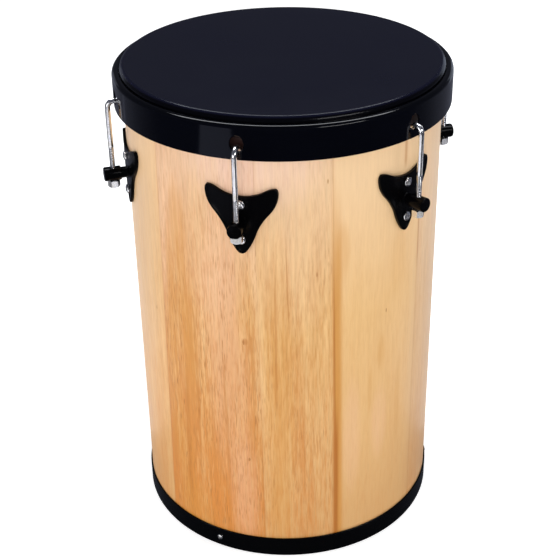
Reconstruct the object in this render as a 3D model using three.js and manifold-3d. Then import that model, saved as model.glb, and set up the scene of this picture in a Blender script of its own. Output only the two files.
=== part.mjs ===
import * as THREE from "three";
import { mergeVertices } from "three/addons/utils/BufferGeometryUtils.js";
import Module from "manifold-3d";

// Rebolo drum. Millimetres, +Z up, origin on the floor under the middle of the shell.
// The first lug faces -Y and the others follow it round.

// Whole drum
const drumHeight = 450; // floor to playing surface
const lugCount = 6;
const ringSegments = 60; // sides of every large ring, so a side's flat faces each lug
const clearance = 0.3; // between pieces that meet
const cutOverrun = 2; // how far a cutter runs past what it cuts

// Shell
const shellOuterRadius = 141.5;
const shellWall = 8;
const bearingEdgeRound = 3.2; // outer round of the edge that carries the skin
const bearingCrestWidth = 0.8;

// Skin and flesh hoop
const skinThickness = 1.6;
const fleshHoopWidth = 3.4;
const fleshHoopHeight = 7.8;
const fleshHoopChamfer = 0.8;

// Counterhoop
const skinRise = 5; // playing surface above the counterhoop
const hoopHeight = 30;
const hoopWall = 2;
const hoopPlay = 0.9; // flesh hoop to the counterhoop's inside
const hoopShoulderRound = 4;
const lipThickness = 2;
const hoopRimRound = 0.6;
const eyeWidth = 11.5;
const eyeHeight = 13.4;
const eyeDrop = 9.7; // counterhoop's top to the eye's top

// Lug plates
const plateWidth = 62;
const plateHeight = 60;
const plateThickness = 2.7;
const plateAboveArm = 30; // plate's top above the arm's axis

// Lug arms
const armDrop = 92; // playing surface to the arm's axis
const armReach = 21; // plate's face to the arm's end
const armStemRadius = 5;
const armHeadRadius = 6.35;
const armHeadLength = 15;
const armEdgeRound = 1.2;
const armDimpleRadius = 1.2;
const armDimpleDepth = 0.6;
const armFlatDepth = 0.8; // spot face under the head that the tuning nut bears on
const armRivetRadius = 3;
const armBorePlay = 0.5; // hook's rod to the wall of the arm's cross bore

// Tension hooks and tuning nuts
const rodRadius = 2.4;
const rodInset = 8.3; // arm's end to the hook's rod
const hookTipLength = 3.5;
const rodBelowNut = 1.5;
const hookBendSteps = 10;
const tuningNutFlats = 9.5;
const tuningNutHeight = 6.5;

// Lug screws and their nuts
const screwAboveArm = 15.5;
const screwBelowArm = 16.5;
const lugScrewRadius = 2;
const lugScrewHeadRadius = 4;
const lugScrewHeadHeight = 2.6;
const lugNutFlats = 7;
const lugNutHeight = 3.2;
const lugScrewBeyondNut = 1.5;

// Bottom band and its screws
const bandHeight = 20;
const bandThickness = 1.3;
const bandEdgeRound = 0.4;
const bandScrewCount = 3;
const bandScrewFirstTurn = -13.2; // degrees from the first lug
const bandScrewHeight = 10.6;
const bandScrewRadius = 1.2;
const bandScrewHeadRadius = 2.8;
const bandScrewHeadHeight = 1.8;
const bandScrewLength = 6.5;
const bandScrewPoint = 2.2;

// Places that follow from the sizes above
const shellInnerRadius = shellOuterRadius - shellWall;
const shellTop = drumHeight - skinThickness - clearance;
const skinInnerRadius = shellOuterRadius + clearance;
const skinOuterRadius = skinInnerRadius + skinThickness;
const fleshHoopInnerRadius = skinOuterRadius + clearance;
const fleshHoopOuterRadius = fleshHoopInnerRadius + fleshHoopWidth;
const hoopInnerRadius = fleshHoopOuterRadius + hoopPlay;
const hoopOuterRadius = hoopInnerRadius + hoopWall;
const hoopTop = drumHeight - skinRise;
const hoopBottom = hoopTop - hoopHeight;
const fleshHoopTop = hoopTop - lipThickness - clearance;
const fleshHoopBottom = fleshHoopTop - fleshHoopHeight;
const eyeTop = hoopTop - eyeDrop;
const eyeBottom = eyeTop - eyeHeight;
const sideFlatShare = Math.cos(Math.PI / ringSegments); // a ring side's middle against its corners
const plateInnerRadius = shellOuterRadius + clearance;
const plateOuterRadius = plateInnerRadius + plateThickness;
const plateFace = plateOuterRadius * sideFlatShare;
const armHeight = drumHeight - armDrop;
const plateTop = armHeight + plateAboveArm;
const plateTip = plateTop - plateHeight;
const armEnd = plateFace + armReach;
const armFlatHeight = armHeight - armHeadRadius + armFlatDepth;
const rodPlace = armEnd - rodInset;
const hookTipPlace = (shellOuterRadius + hoopInnerRadius) / 2;
const hookBendRadius = (rodPlace - hookTipPlace) / 2;
const hookBendPlace = (rodPlace + hookTipPlace) / 2;
const hookBendInside = hookBendRadius - rodRadius;
const hookSeatReach = hookBendPlace - hoopInnerRadius;
const hookSeatRise = Math.sqrt(Math.max(hookBendInside ** 2 - hookSeatReach ** 2, 0));
const hookBendHeight = eyeBottom + clearance - hookSeatRise;
const tuningNutTop = armFlatHeight - clearance;
const rodEnd = tuningNutTop - tuningNutHeight - rodBelowNut;
const shellInnerFace = shellInnerRadius * sideFlatShare;
const lugNutFace = shellInnerFace - clearance;
const bandInnerRadius = shellOuterRadius + clearance;
const bandOuterRadius = bandInnerRadius + bandThickness;
const bandScrewBase = bandOuterRadius + clearance;
const bandScrewEnd = bandScrewBase - bandScrewLength;

const quarterTurn = Math.PI / 2;
const fullTurn = Math.PI * 2;
const halfSide = Math.PI / ringSegments;

const wasm = await Module();
wasm.setup();

const blackSteel = { color: 0x0c0d12, roughness: 0.22, metalness: 0.3 };
const finishes = {
  wood: { color: 0xe3b682, roughness: 0.45, metalness: 0 },
  skin: { color: 0x1d1d27, roughness: 0.6, metalness: 0 },
  ring: { color: 0x9a9ca0, roughness: 0.5, metalness: 0.8 },
  black: blackSteel,
  chrome: { color: 0xd6d8dc, roughness: 0.15, metalness: 1 },
};

// Shapes

function toSolid(geometry) {
  const bare = geometry.clone();
  bare.deleteAttribute("normal");
  bare.deleteAttribute("uv");
  const welded = mergeVertices(bare);
  const corners = [];
  const index = welded.index.array;
  for (let i = 0; i < index.length; i += 3) {
    const [a, b, c] = [index[i], index[i + 1], index[i + 2]];
    if (a !== b && b !== c && c !== a) {
      corners.push(a, b, c);
    }
  }
  const vertProperties = new Float32Array(welded.attributes.position.array);
  const triVerts = new Uint32Array(corners);
  return new wasm.Manifold(new wasm.Mesh({ numProp: 3, vertProperties, triVerts }));
}

function toGeometry(solid) {
  const mesh = solid.getMesh();
  const geometry = new THREE.BufferGeometry();
  geometry.setAttribute("position", new THREE.BufferAttribute(new Float32Array(mesh.vertProperties), 3));
  geometry.setIndex(new THREE.BufferAttribute(new Uint32Array(mesh.triVerts), 1));
  geometry.computeVertexNormals();
  return geometry;
}

function cut(geometry, cutters) {
  let solid = toSolid(geometry);
  for (const cutter of cutters) {
    solid = solid.subtract(toSolid(cutter));
  }
  return toGeometry(solid);
}

// A profile of [radius, height] points, closed by itself or on the axis, revolved about Z
function revolve(profile, segments, startTurn = 0) {
  const points = profile.map(([radius, height]) => new THREE.Vector2(radius, height));
  const geometry = new THREE.LatheGeometry(points, segments, startTurn);
  geometry.rotateX(quarterTurn);
  return geometry;
}

// A ring's closed profile, revolved so that its flats face the lugs
function ring(profile) {
  return revolve([...profile, profile[0]], ringSegments, halfSide);
}

function arc(centreRadius, centreHeight, radius, from, to, steps) {
  const points = [];
  for (let i = 0; i <= steps; i += 1) {
    const turn = from + ((to - from) * i) / steps;
    points.push([centreRadius + radius * Math.cos(turn), centreHeight + radius * Math.sin(turn)]);
  }
  return points;
}

// A rod along a line pointing out of the shell, from one distance off the axis to another
function radialRod(radius, from, to, height, sides) {
  const geometry = new THREE.CylinderGeometry(radius, radius, to - from, sides);
  geometry.translate(0, -(from + to) / 2, height);
  return geometry;
}

// A revolved profile of [radius, distance off the drum's axis] laid along the line out of the shell
function radialTurning(profile, height, sides) {
  const points = profile.map(([radius, distance]) => new THREE.Vector2(radius, distance));
  const geometry = new THREE.LatheGeometry(points, sides);
  geometry.rotateX(Math.PI);
  geometry.translate(0, 0, height);
  return geometry;
}

function turned(geometry, degrees) {
  return geometry.clone().rotateZ(THREE.MathUtils.degToRad(degrees));
}

const lugTurns = Array.from({ length: lugCount }, (_, i) => (i * 360) / lugCount);
const bandScrewTurns = Array.from(
  { length: bandScrewCount },
  (_, i) => bandScrewFirstTurn + (i * 360) / bandScrewCount,
);
const screwHeights = {
  upper: armHeight + screwAboveArm,
  lower: armHeight - screwBelowArm,
};

// Shell: a straight tube with a bearing edge, drilled for the lug screws and piloted for the band's

function makeShell() {
  const crestRadius = shellOuterRadius - bearingEdgeRound;
  const bevelRadius = crestRadius - bearingCrestWidth;
  const profile = [
    [shellInnerRadius, 0],
    [shellOuterRadius, 0],
    ...arc(crestRadius, shellTop - bearingEdgeRound, bearingEdgeRound, 0, quarterTurn, 3),
    [bevelRadius, shellTop],
    [shellInnerRadius, shellTop - (bevelRadius - shellInnerRadius)],
  ];
  const cutters = [];
  for (const turn of lugTurns) {
    for (const height of Object.values(screwHeights)) {
      const hole = radialRod(
        lugScrewRadius + clearance,
        shellInnerRadius - cutOverrun,
        shellOuterRadius + cutOverrun,
        height,
        8,
      );
      cutters.push(turned(hole, turn));
    }
  }
  for (const turn of bandScrewTurns) {
    const pilot = radialRod(
      bandScrewRadius + clearance,
      bandScrewEnd - clearance,
      shellOuterRadius + cutOverrun,
      bandScrewHeight,
      8,
    );
    cutters.push(turned(pilot, turn));
  }
  return cut(ring(profile), cutters);
}

// Skin: a flat disc turned down over the bearing edge, with a lap under the flesh hoop

function makeSkin() {
  const innerRound = bearingEdgeRound + clearance;
  const outerRound = innerRound + skinThickness;
  const roundCentre = skinInnerRadius - innerRound;
  const roundHeight = drumHeight - outerRound;
  const lapTop = fleshHoopBottom - clearance;
  const lapBottom = lapTop - skinThickness;
  const profile = [
    [0, drumHeight - skinThickness],
    ...arc(roundCentre, roundHeight, innerRound, quarterTurn, 0, 3),
    [skinInnerRadius, lapBottom],
    [fleshHoopOuterRadius, lapBottom],
    [fleshHoopOuterRadius, lapTop],
    [skinOuterRadius, lapTop],
    ...arc(roundCentre, roundHeight, outerRound, 0, quarterTurn, 4),
    [0, drumHeight],
  ];
  return revolve(profile, ringSegments, halfSide);
}

function makeFleshHoop() {
  return ring([
    [fleshHoopInnerRadius, fleshHoopBottom],
    [fleshHoopOuterRadius, fleshHoopBottom],
    [fleshHoopOuterRadius, fleshHoopTop - fleshHoopChamfer],
    [fleshHoopOuterRadius - fleshHoopChamfer, fleshHoopTop],
    [fleshHoopInnerRadius, fleshHoopTop],
  ]);
}

// Counterhoop: a deep band whose top turns in over the flesh hoop, with an eye for each hook

function makeCounterhoop() {
  const lipInnerRadius = skinOuterRadius + clearance;
  const shoulderCentre = hoopOuterRadius - hoopShoulderRound;
  const insideRound = hoopShoulderRound - hoopWall;
  const profile = [
    [hoopInnerRadius, hoopBottom],
    [hoopOuterRadius - hoopRimRound, hoopBottom],
    [hoopOuterRadius, hoopBottom + hoopRimRound],
    ...arc(shoulderCentre, hoopTop - hoopShoulderRound, hoopShoulderRound, 0, quarterTurn, 4),
    [lipInnerRadius, hoopTop],
    [lipInnerRadius, hoopTop - lipThickness],
    ...arc(shoulderCentre, hoopTop - hoopShoulderRound, insideRound, quarterTurn, 0, 2),
  ];
  const eye = radialRod(
    eyeWidth / 2,
    hoopInnerRadius - cutOverrun,
    hoopOuterRadius + cutOverrun,
    0,
    16,
  );
  eye.scale(1, 1, eyeHeight / eyeWidth);
  eye.translate(0, 0, (eyeTop + eyeBottom) / 2);
  return cut(ring(profile), lugTurns.map((turn) => turned(eye, turn)));
}

// Bottom band: a strap ring, drilled for its screws

function makeBand() {
  const hole = radialRod(
    bandScrewRadius + clearance,
    bandInnerRadius - cutOverrun,
    bandOuterRadius + cutOverrun,
    bandScrewHeight,
    8,
  );
  const profile = [
    [bandInnerRadius, 0],
    [bandOuterRadius - bandEdgeRound, 0],
    [bandOuterRadius, bandEdgeRound],
    [bandOuterRadius, bandHeight - bandEdgeRound],
    [bandOuterRadius - bandEdgeRound, bandHeight],
    [bandInnerRadius, bandHeight],
  ];
  return cut(ring(profile), bandScrewTurns.map((turn) => turned(hole, turn)));
}

// Half of the plate's outline, from the top's middle to the tip, as shares of half the width and of the
// height below the top: a dished top, a round shoulder, and a side that runs down in a slow S to the tip
const plateStartShares = [0, 0.13];
const plateCurveShares = [
  { control: [0.34, 0.13], end: [0.62, 0.05] },
  { control: [0.78, 0], end: [0.92, 0] },
  { control: [1, 0.01], end: [1, 0.09] },
  { control: [0.99, 0.24], end: [0.78, 0.37] },
  { control: [0.55, 0.5], end: [0.42, 0.66] },
  { control: [0.32, 0.83], end: [0.15, 0.95] },
  { control: [0.08, 1], end: [0, 1] },
];
const plateCurveSteps = 3;

function platePoint([across, down], side) {
  return new THREE.Vector2((side * across * plateWidth) / 2, plateTop - down * plateHeight);
}

function plateOutline() {
  const half = (side) => {
    const points = [platePoint(plateStartShares, side)];
    for (const { control, end } of plateCurveShares) {
      const last = points[points.length - 1];
      const curve = new THREE.QuadraticBezierCurve(last, platePoint(control, side), platePoint(end, side));
      points.push(...curve.getPoints(plateCurveSteps).slice(1));
    }
    return points;
  };
  const left = half(-1);
  const right = half(1);
  return [...left, ...right.reverse().slice(1, -1)];
}

// Lug plate: its outline pressed out of a sheet that follows the shell's curve

function makePlate() {
  const from = shellInnerRadius;
  const to = plateOuterRadius + cutOverrun;
  const blank = new THREE.ExtrudeGeometry(new THREE.Shape(plateOutline()), {
    depth: to - from,
    bevelEnabled: false,
  });
  blank.rotateX(quarterTurn);
  blank.translate(0, -from, 0);
  const sheet = ring([
    [plateInnerRadius, plateTip - cutOverrun],
    [plateOuterRadius, plateTip - cutOverrun],
    [plateOuterRadius, plateTop + cutOverrun],
    [plateInnerRadius, plateTop + cutOverrun],
  ]);
  const pressed = toGeometry(toSolid(blank).intersect(toSolid(sheet)));
  const holes = Object.values(screwHeights).map((height) =>
    radialRod(lugScrewRadius + clearance, from, to, height, 8));
  holes.push(radialRod(armRivetRadius + clearance, from, to, armHeight, 16));
  return cut(pressed, holes);
}

// Lug arm: a turned post, fatter at its head, with a rivet end in the plate, a cross bore for the hook
// and a spot face below for the tuning nut

function makeArm() {
  const base = plateFace + clearance;
  const headStart = armEnd - armHeadLength;
  const edge = armEdgeRound;
  const profile = [
    [0, plateInnerRadius + clearance],
    [armRivetRadius, plateInnerRadius + clearance],
    [armRivetRadius, base],
    [armStemRadius, base],
    [armStemRadius, headStart],
    [armHeadRadius - edge / 2, headStart],
    [armHeadRadius, headStart + edge / 2],
    ...arc(armHeadRadius - edge, armEnd - edge, edge, 0, quarterTurn, 2),
    [armDimpleRadius, armEnd],
    [0, armEnd - armDimpleDepth],
  ];
  const reach = armHeadRadius + cutOverrun;
  const bore = new THREE.CylinderGeometry(rodRadius + armBorePlay, rodRadius + armBorePlay, 2 * reach, 10);
  bore.rotateX(quarterTurn);
  bore.translate(0, -rodPlace, armHeight);
  const spotDepth = armFlatDepth + cutOverrun;
  const spotLength = armHeadLength + cutOverrun;
  const spotFace = new THREE.BoxGeometry(2 * reach, spotLength, spotDepth);
  spotFace.translate(0, -(headStart + spotLength / 2), armFlatHeight - spotDepth / 2);
  return cut(radialTurning(profile, armHeight, 16), [bore, spotFace]);
}

// Tension hook: a straight rod bent right over, so that its tip hangs inside the counterhoop. The line
// takes one step for the rod, one for the tip and the rest for the bend.

class HookLine extends THREE.Curve {
  getPoint(t, target = new THREE.Vector3()) {
    const step = t * (hookBendSteps + 2);
    const turn = THREE.MathUtils.clamp((step - 1) / hookBendSteps, 0, 1) * Math.PI;
    target.set(
      0,
      -(hookBendPlace + hookBendRadius * Math.cos(turn)),
      hookBendHeight + hookBendRadius * Math.sin(turn),
    );
    target.z -= Math.max(1 - step, 0) * (hookBendHeight - rodEnd);
    target.z -= Math.max(step - hookBendSteps - 1, 0) * hookTipLength;
    return target;
  }

  getPointAt(u, target) {
    return this.getPoint(u, target);
  }

  getTangentAt(u, target) {
    return this.getTangent(u, target);
  }
}

function makeHook() {
  const section = new THREE.Shape();
  section.absarc(0, 0, rodRadius, 0, fullTurn);
  return new THREE.ExtrudeGeometry(section, {
    steps: hookBendSteps + 2,
    curveSegments: 4,
    extrudePath: new HookLine(),
  });
}

// Hexagon nut on the Z axis, with its corners turned off when it has a chamfer

function makeNut(flats, height, boreRadius, chamfered) {
  const cornerRadius = flats / Math.sqrt(3);
  const half = height / 2;
  const prism = new THREE.CylinderGeometry(cornerRadius, cornerRadius, height, 6);
  prism.rotateX(quarterTurn);
  const bore = new THREE.CylinderGeometry(boreRadius, boreRadius, height + cutOverrun, 8);
  bore.rotateX(quarterTurn);
  let solid = toSolid(prism).subtract(toSolid(bore));
  if (chamfered) {
    const bevel = (cornerRadius - flats / 2) * Math.tan(Math.PI / 6);
    const turning = revolve([
      [0, -half],
      [flats / 2, -half],
      [cornerRadius, bevel - half],
      [cornerRadius, half - bevel],
      [flats / 2, half],
      [0, half],
    ], 12);
    solid = solid.intersect(toSolid(turning));
  }
  return toGeometry(solid);
}

// Points of a domed screw head, from its rim to its crown
const screwRimShare = 0.3;

function domedHead(radius, height, base, steps) {
  const rim = base + height * screwRimShare;
  const points = [[radius, base]];
  for (let i = 0; i < steps; i += 1) {
    const turn = (i / steps) * quarterTurn;
    points.push([radius * Math.cos(turn), rim + height * (1 - screwRimShare) * Math.sin(turn)]);
  }
  points.push([0, base + height]);
  return points;
}

// Lug screw: a pan head on the plate, its shank through the plate, the shell and the nut

function makeLugScrew() {
  const end = lugNutFace - lugNutHeight - lugScrewBeyondNut;
  const profile = [
    [0, end],
    [lugScrewRadius, end],
    [lugScrewRadius, plateFace + clearance],
    ...domedHead(lugScrewHeadRadius, lugScrewHeadHeight, plateFace + clearance, 2),
  ];
  return radialTurning(profile, 0, 8);
}

function makeLugNut() {
  const nut = makeNut(lugNutFlats, lugNutHeight, lugScrewRadius + clearance, false);
  nut.rotateX(quarterTurn);
  nut.translate(0, -(lugNutFace - lugNutHeight / 2), 0);
  return nut;
}

function makeBandScrew() {
  const profile = [
    [0, bandScrewEnd],
    [bandScrewRadius, bandScrewEnd + bandScrewPoint],
    [bandScrewRadius, bandScrewBase],
    ...domedHead(bandScrewHeadRadius, bandScrewHeadHeight, bandScrewBase, 2),
  ];
  return radialTurning(profile, 0, 8);
}

// The assembly

function piece(name, geometry, finish, height = 0) {
  const mesh = new THREE.Mesh(geometry, new THREE.MeshStandardMaterial(finishes[finish]));
  mesh.name = name;
  mesh.position.z = height;
  return mesh;
}

const drum = new THREE.Group();
drum.add(
  piece("shell", makeShell(), "wood"),
  piece("head_skin", makeSkin(), "skin"),
  piece("flesh_hoop", makeFleshHoop(), "ring"),
  piece("counterhoop", makeCounterhoop(), "black"),
  piece("bottom_band", makeBand(), "black"),
);

const plate = makePlate();
const arm = makeArm();
const hook = makeHook();
const lugScrew = makeLugScrew();
const lugNut = makeLugNut();
const tuningNut = makeNut(tuningNutFlats, tuningNutHeight, rodRadius + clearance, true);
tuningNut.translate(0, -rodPlace, 0);
lugTurns.forEach((turn, i) => {
  const lug = new THREE.Group();
  lug.rotation.z = THREE.MathUtils.degToRad(turn);
  const number = i + 1;
  lug.add(
    piece(`lug_plate_${number}`, plate, "black"),
    piece(`lug_arm_${number}`, arm, "black"),
    piece(`tension_hook_${number}`, hook, "chrome"),
    piece(`tuning_nut_${number}`, tuningNut, "chrome", tuningNutTop - tuningNutHeight / 2),
  );
  for (const [side, height] of Object.entries(screwHeights)) {
    lug.add(
      piece(`${side}_screw_${number}`, lugScrew, "chrome", height),
      piece(`${side}_screw_nut_${number}`, lugNut, "chrome", height),
    );
  }
  drum.add(lug);
});

const bandScrew = makeBandScrew();
bandScrewTurns.forEach((turn, i) => {
  const seat = new THREE.Group();
  seat.rotation.z = THREE.MathUtils.degToRad(turn);
  seat.add(piece(`band_screw_${i + 1}`, bandScrew, "chrome", bandScrewHeight));
  drum.add(seat);
});

export default drum;
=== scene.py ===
import math

import bmesh
import bpy
from mathutils import Matrix, Vector


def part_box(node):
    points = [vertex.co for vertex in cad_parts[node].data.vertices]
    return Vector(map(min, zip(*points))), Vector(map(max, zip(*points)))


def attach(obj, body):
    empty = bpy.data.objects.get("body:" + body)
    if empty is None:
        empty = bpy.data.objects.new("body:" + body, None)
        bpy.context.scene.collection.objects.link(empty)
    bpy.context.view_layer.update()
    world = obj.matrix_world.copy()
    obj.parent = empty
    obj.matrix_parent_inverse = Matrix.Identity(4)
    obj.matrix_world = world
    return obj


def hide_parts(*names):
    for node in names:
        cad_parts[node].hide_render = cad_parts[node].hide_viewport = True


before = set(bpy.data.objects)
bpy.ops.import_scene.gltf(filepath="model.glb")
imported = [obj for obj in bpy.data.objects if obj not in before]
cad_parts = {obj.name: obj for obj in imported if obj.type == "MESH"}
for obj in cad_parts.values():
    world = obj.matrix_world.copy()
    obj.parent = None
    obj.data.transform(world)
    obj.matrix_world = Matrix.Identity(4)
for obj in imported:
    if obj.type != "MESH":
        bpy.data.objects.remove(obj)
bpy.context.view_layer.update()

# Rebolo drum, in metres. The first lug faces -Y; degrees count from it towards +X.

lugCount = 6
lugTurns = [i * 360 / lugCount for i in range(lugCount)]
cadSides = 60
flatShare = math.cos(math.pi / cadSides)  # a CAD ring's flat against its corner
roundSides = 240  # sides of the large rings here
overrun = 0.003  # how far a cutter stands out of what it cuts
tiny = 1e-7
quarterTurn = Matrix.Rotation(math.pi / 2, 4, "X")
squareCorners = ((-1, -1), (1, -1), (1, 1), (-1, 1))


def ringRadius(node):
    low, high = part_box(node)
    return (high.x - low.x) / 2 / flatShare


def middleHeight(node):
    low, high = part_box(node)
    return (low.z + high.z) / 2


shellRadius = ringRadius("shell")
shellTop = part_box("shell")[1].z
skinLapRadius = ringRadius("head_skin")
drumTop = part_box("head_skin")[1].z
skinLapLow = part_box("head_skin")[0].z
hoopRadius = ringRadius("counterhoop")
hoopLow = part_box("counterhoop")[0].z
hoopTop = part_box("counterhoop")[1].z
bandRadius = ringRadius("bottom_band")
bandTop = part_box("bottom_band")[1].z
plateLow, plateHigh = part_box("lug_plate_1")
plateRadius = -plateLow.y / flatShare
armLow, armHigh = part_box("lug_arm_1")
armRadius = (armHigh.x - armLow.x) / 2
armHeight = armHigh.z - armRadius
armEnd = -armLow.y
hookLow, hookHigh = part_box("tension_hook_1")
rodRadius = (hookHigh.x - hookLow.x) / 2
rodPlace = -hookLow.y - rodRadius
tipPlace = -hookHigh.y + rodRadius
bendRadius = (rodPlace - tipPlace) / 2
bendHeight = hookHigh.z - rodRadius - bendRadius
nutLow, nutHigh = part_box("tuning_nut_1")


# Mesh tools

def addObject(name, data):
    made = bpy.data.objects.new(name, data)
    bpy.context.scene.collection.objects.link(made)
    return made


def around(degrees, distance, height):
    turn = math.radians(degrees)
    return Vector((distance * math.sin(turn), -distance * math.cos(turn), height))


def arcPoints(radiusAt, heightAt, radius, start, stop, steps):
    points = []
    for i in range(steps + 1):
        turn = math.radians(start + (stop - start) * i / steps)
        points.append((radiusAt + radius * math.cos(turn), heightAt + radius * math.sin(turn)))
    return points


def bridge(builder, lower, upper):
    sides = max(len(lower), len(upper))
    for i in range(sides):
        j = (i + 1) % sides
        if len(lower) == 1:
            builder.faces.new((lower[0], upper[j], upper[i]))
        elif len(upper) == 1:
            builder.faces.new((lower[i], lower[j], upper[0]))
        else:
            builder.faces.new((lower[i], lower[j], upper[j], upper[i]))


# A profile of (radius, height) points turned about Z: it closes on itself, or it starts and ends on the axis
def turned(profile, sides):
    builder = bmesh.new()
    rings = []
    turns = [2 * math.pi * i / sides for i in range(sides)]
    for radius, height in profile:
        if radius < tiny:
            rings.append([builder.verts.new((0, 0, height))])
        else:
            ring = [(radius * math.cos(turn), radius * math.sin(turn), height) for turn in turns]
            rings.append([builder.verts.new(place) for place in ring])
    if len(rings[0]) > 1:
        rings.append(rings[0])
    for lower, upper in zip(rings, rings[1:]):
        bridge(builder, lower, upper)
    return builder


def markSharp(builder, sharpAngle):
    limit = math.radians(sharpAngle)
    for face in builder.faces:
        face.smooth = True
    for edge in builder.edges:
        edge.smooth = len(edge.link_faces) == 2 and edge.calc_face_angle(0) < limit


def makePiece(name, builder, material=None, sharpAngle=32):
    bmesh.ops.recalc_face_normals(builder, faces=builder.faces)
    markSharp(builder, sharpAngle)
    mesh = bpy.data.meshes.new(name)
    builder.to_mesh(mesh)
    builder.free()
    if material:
        mesh.materials.append(material)
    return addObject(name, mesh)


def reshape(piece, cutters, operation="DIFFERENCE", sharpAngle=32):
    for cutter in cutters:
        change = piece.modifiers.new("cut", "BOOLEAN")
        change.operation = operation
        change.solver = "EXACT"
        change.object = cutter
    depsgraph = bpy.context.evaluated_depsgraph_get()
    old = piece.data
    piece.data = bpy.data.meshes.new_from_object(piece.evaluated_get(depsgraph))
    piece.modifiers.clear()
    piece.data.name = piece.name
    bpy.data.meshes.remove(old)
    for cutter in cutters:
        bpy.data.objects.remove(cutter)
    builder = bmesh.new()
    builder.from_mesh(piece.data)
    bmesh.ops.dissolve_degenerate(builder, dist=tiny, edges=builder.edges)
    markSharp(builder, sharpAngle)
    builder.to_mesh(piece.data)
    builder.free()


def joinPieces(pieces):
    builder = bmesh.new()
    for piece in pieces:
        mesh = piece.data.copy()
        mesh.transform(piece.matrix_basis)
        builder.from_mesh(mesh)
        bpy.data.meshes.remove(mesh)
        bpy.data.objects.remove(piece)
    return makePiece("joined", builder)


# Walls that stand square to the radius get the true round normal, so that holes in them leave no facets
def roundWalls(piece, squareEnough=0.995):
    mesh = piece.data
    normals = [corner.vector.copy() for corner in mesh.corner_normals]
    for face in mesh.polygons:
        outward = Vector((face.center.x, face.center.y, 0)).normalized()
        facing = face.normal.dot(outward)
        if abs(facing) < squareEnough:
            continue
        for corner in face.loop_indices:
            place = mesh.vertices[mesh.loops[corner].vertex_index].co
            normals[corner] = Vector((place.x, place.y, 0)).normalized() * math.copysign(1, facing)
    mesh.normals_split_custom_set(normals)


# Walls through the loops in turn, and a face over each end
def closeLoft(builder, loops):
    for lower, upper in zip(loops, loops[1:]):
        bridge(builder, lower, upper)
    builder.faces.new(loops[0][::-1])
    builder.faces.new(loops[-1])


def rod(radius, start, stop, sides):
    return turned([(0, start), (radius, start), (radius, stop), (0, stop)], sides)


# Lays something turned about Z along the line that points out of the drum at -Y, at that height
def layOutward(builder, height):
    builder.transform(quarterTurn)
    builder.transform(Matrix.Translation((0, 0, height)))
    return builder


# A cutter for a round hole through everything between two distances from the drum's axis
def drill(radius, start, stop, height, degrees=0, sides=24):
    cutter = makePiece("drill", layOutward(rod(radius, start, stop, sides), height))
    cutter.rotation_euler.z = math.radians(degrees)
    return cutter


groupNames = ("bright_steel", "shell_wood", "skin", "tuning_nuts", "all_but_skin")
lightGroups = {name: bpy.data.collections.new(name) for name in groupNames}


def fit(piece, node, body, slot, turn=0):
    piece.rotation_euler.z = math.radians(turn)
    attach(piece, body)
    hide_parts(node)
    if slot in lightGroups:
        lightGroups[slot].objects.link(piece)
    return piece


# Material tools: each finds the node tree from the sockets that it gets

def newMaterial(name, looks):
    material = bpy.data.materials.new(name)
    material.use_nodes = True
    shader = material.node_tree.nodes["Principled BSDF"]
    for key, value in looks.items():
        shader.inputs[key].default_value = value
    return material, shader


def isSocket(value):
    return isinstance(value, bpy.types.NodeSocket)


def put(tree, kind, sockets=(), **settings):
    node = tree.nodes.new("ShaderNode" + kind)
    for key, value in settings.items():
        setattr(node, key, value)
    for key, value in dict(sockets).items():
        if isSocket(value):
            tree.links.new(value, node.inputs[key])
        else:
            node.inputs[key].default_value = value
    return node


def feed(shader, key, value):
    shader.id_data.links.new(value, shader.inputs[key])


def maths(operation, first, second=0.0, clamp=False):
    tree = first.id_data
    return put(tree, "Math", {0: first, 1: second}, operation=operation, use_clamp=clamp).outputs[0]


def plus(first, *others):
    for other in others:
        first = maths("ADD", first, other)
    return first


def minus(first, second):
    return maths("SUBTRACT", first, second)


def times(first, *others):
    for other in others:
        first = maths("MULTIPLY", first, other)
    return first


# A noise's swing about its middle
def swing(value, reach):
    return times(minus(value, 0.5), reach)


def between(value, low, high, toLow=0.0, toHigh=1.0):
    sockets = {"Value": value, "From Min": low, "From Max": high, "To Min": toLow, "To Max": toHigh}
    return put(value.id_data, "MapRange", sockets, interpolation_type="SMOOTHSTEP").outputs[0]


def mixed(factor, first, second, blend="MIX"):
    tree = next(value.id_data for value in (factor, first, second) if isSocket(value))
    first, second = [color if isSocket(color) else (*color, 1) for color in (first, second)]
    sockets = {0: factor, 6: first, 7: second}
    return put(tree, "Mix", sockets, data_type="RGBA", blend_type=blend).outputs[2]


# The scale is one number, or one for each axis
def noise(place, scale, detail=2.0, roughness=0.5, distortion=0.0):
    tree = place.id_data
    if isinstance(scale, tuple):
        place = put(tree, "VectorMath", {0: place, 1: scale}, operation="MULTIPLY").outputs[0]
        scale = 1.0
    sockets = {"Vector": place, "Scale": scale, "Detail": detail, "Roughness": roughness}
    return put(tree, "TexNoise", sockets | {"Distortion": distortion}).outputs["Fac"]


def bump(shader, height, strength, distance):
    sockets = {"Height": height, "Strength": strength, "Distance": distance}
    feed(shader, "Normal", put(shader.id_data, "Bump", sockets).outputs[0])


def ramp(value, stops):
    node = put(value.id_data, "ValToRGB", {"Fac": value})
    line = node.color_ramp.elements
    while len(line) < len(stops):
        line.new(0.5)
    for spot, (place, color) in zip(line, stops):
        spot.position = place
        spot.color = (*color, 1)
    return node.outputs[0]


def objectPlace(tree):
    return put(tree, "TexCoord").outputs["Object"]


# A roughness that follows a noise from one value to the other
def uneven(value, low, high):
    return between(value, 0.2, 0.8, low, high)


# Camera, matched to the photograph

photoCamera = {
    "turn": 14.7,  # degrees round the drum from the first lug
    "back": 1.0339,
    "aside": -0.0062,
    "height": 0.8139,
    "pitch": 29.8,
    "roll": -0.97,
    "lens": 78.9,
    "shift": (0.0018, 0.0011),
    "clip": (0.05, 40),
}


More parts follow.
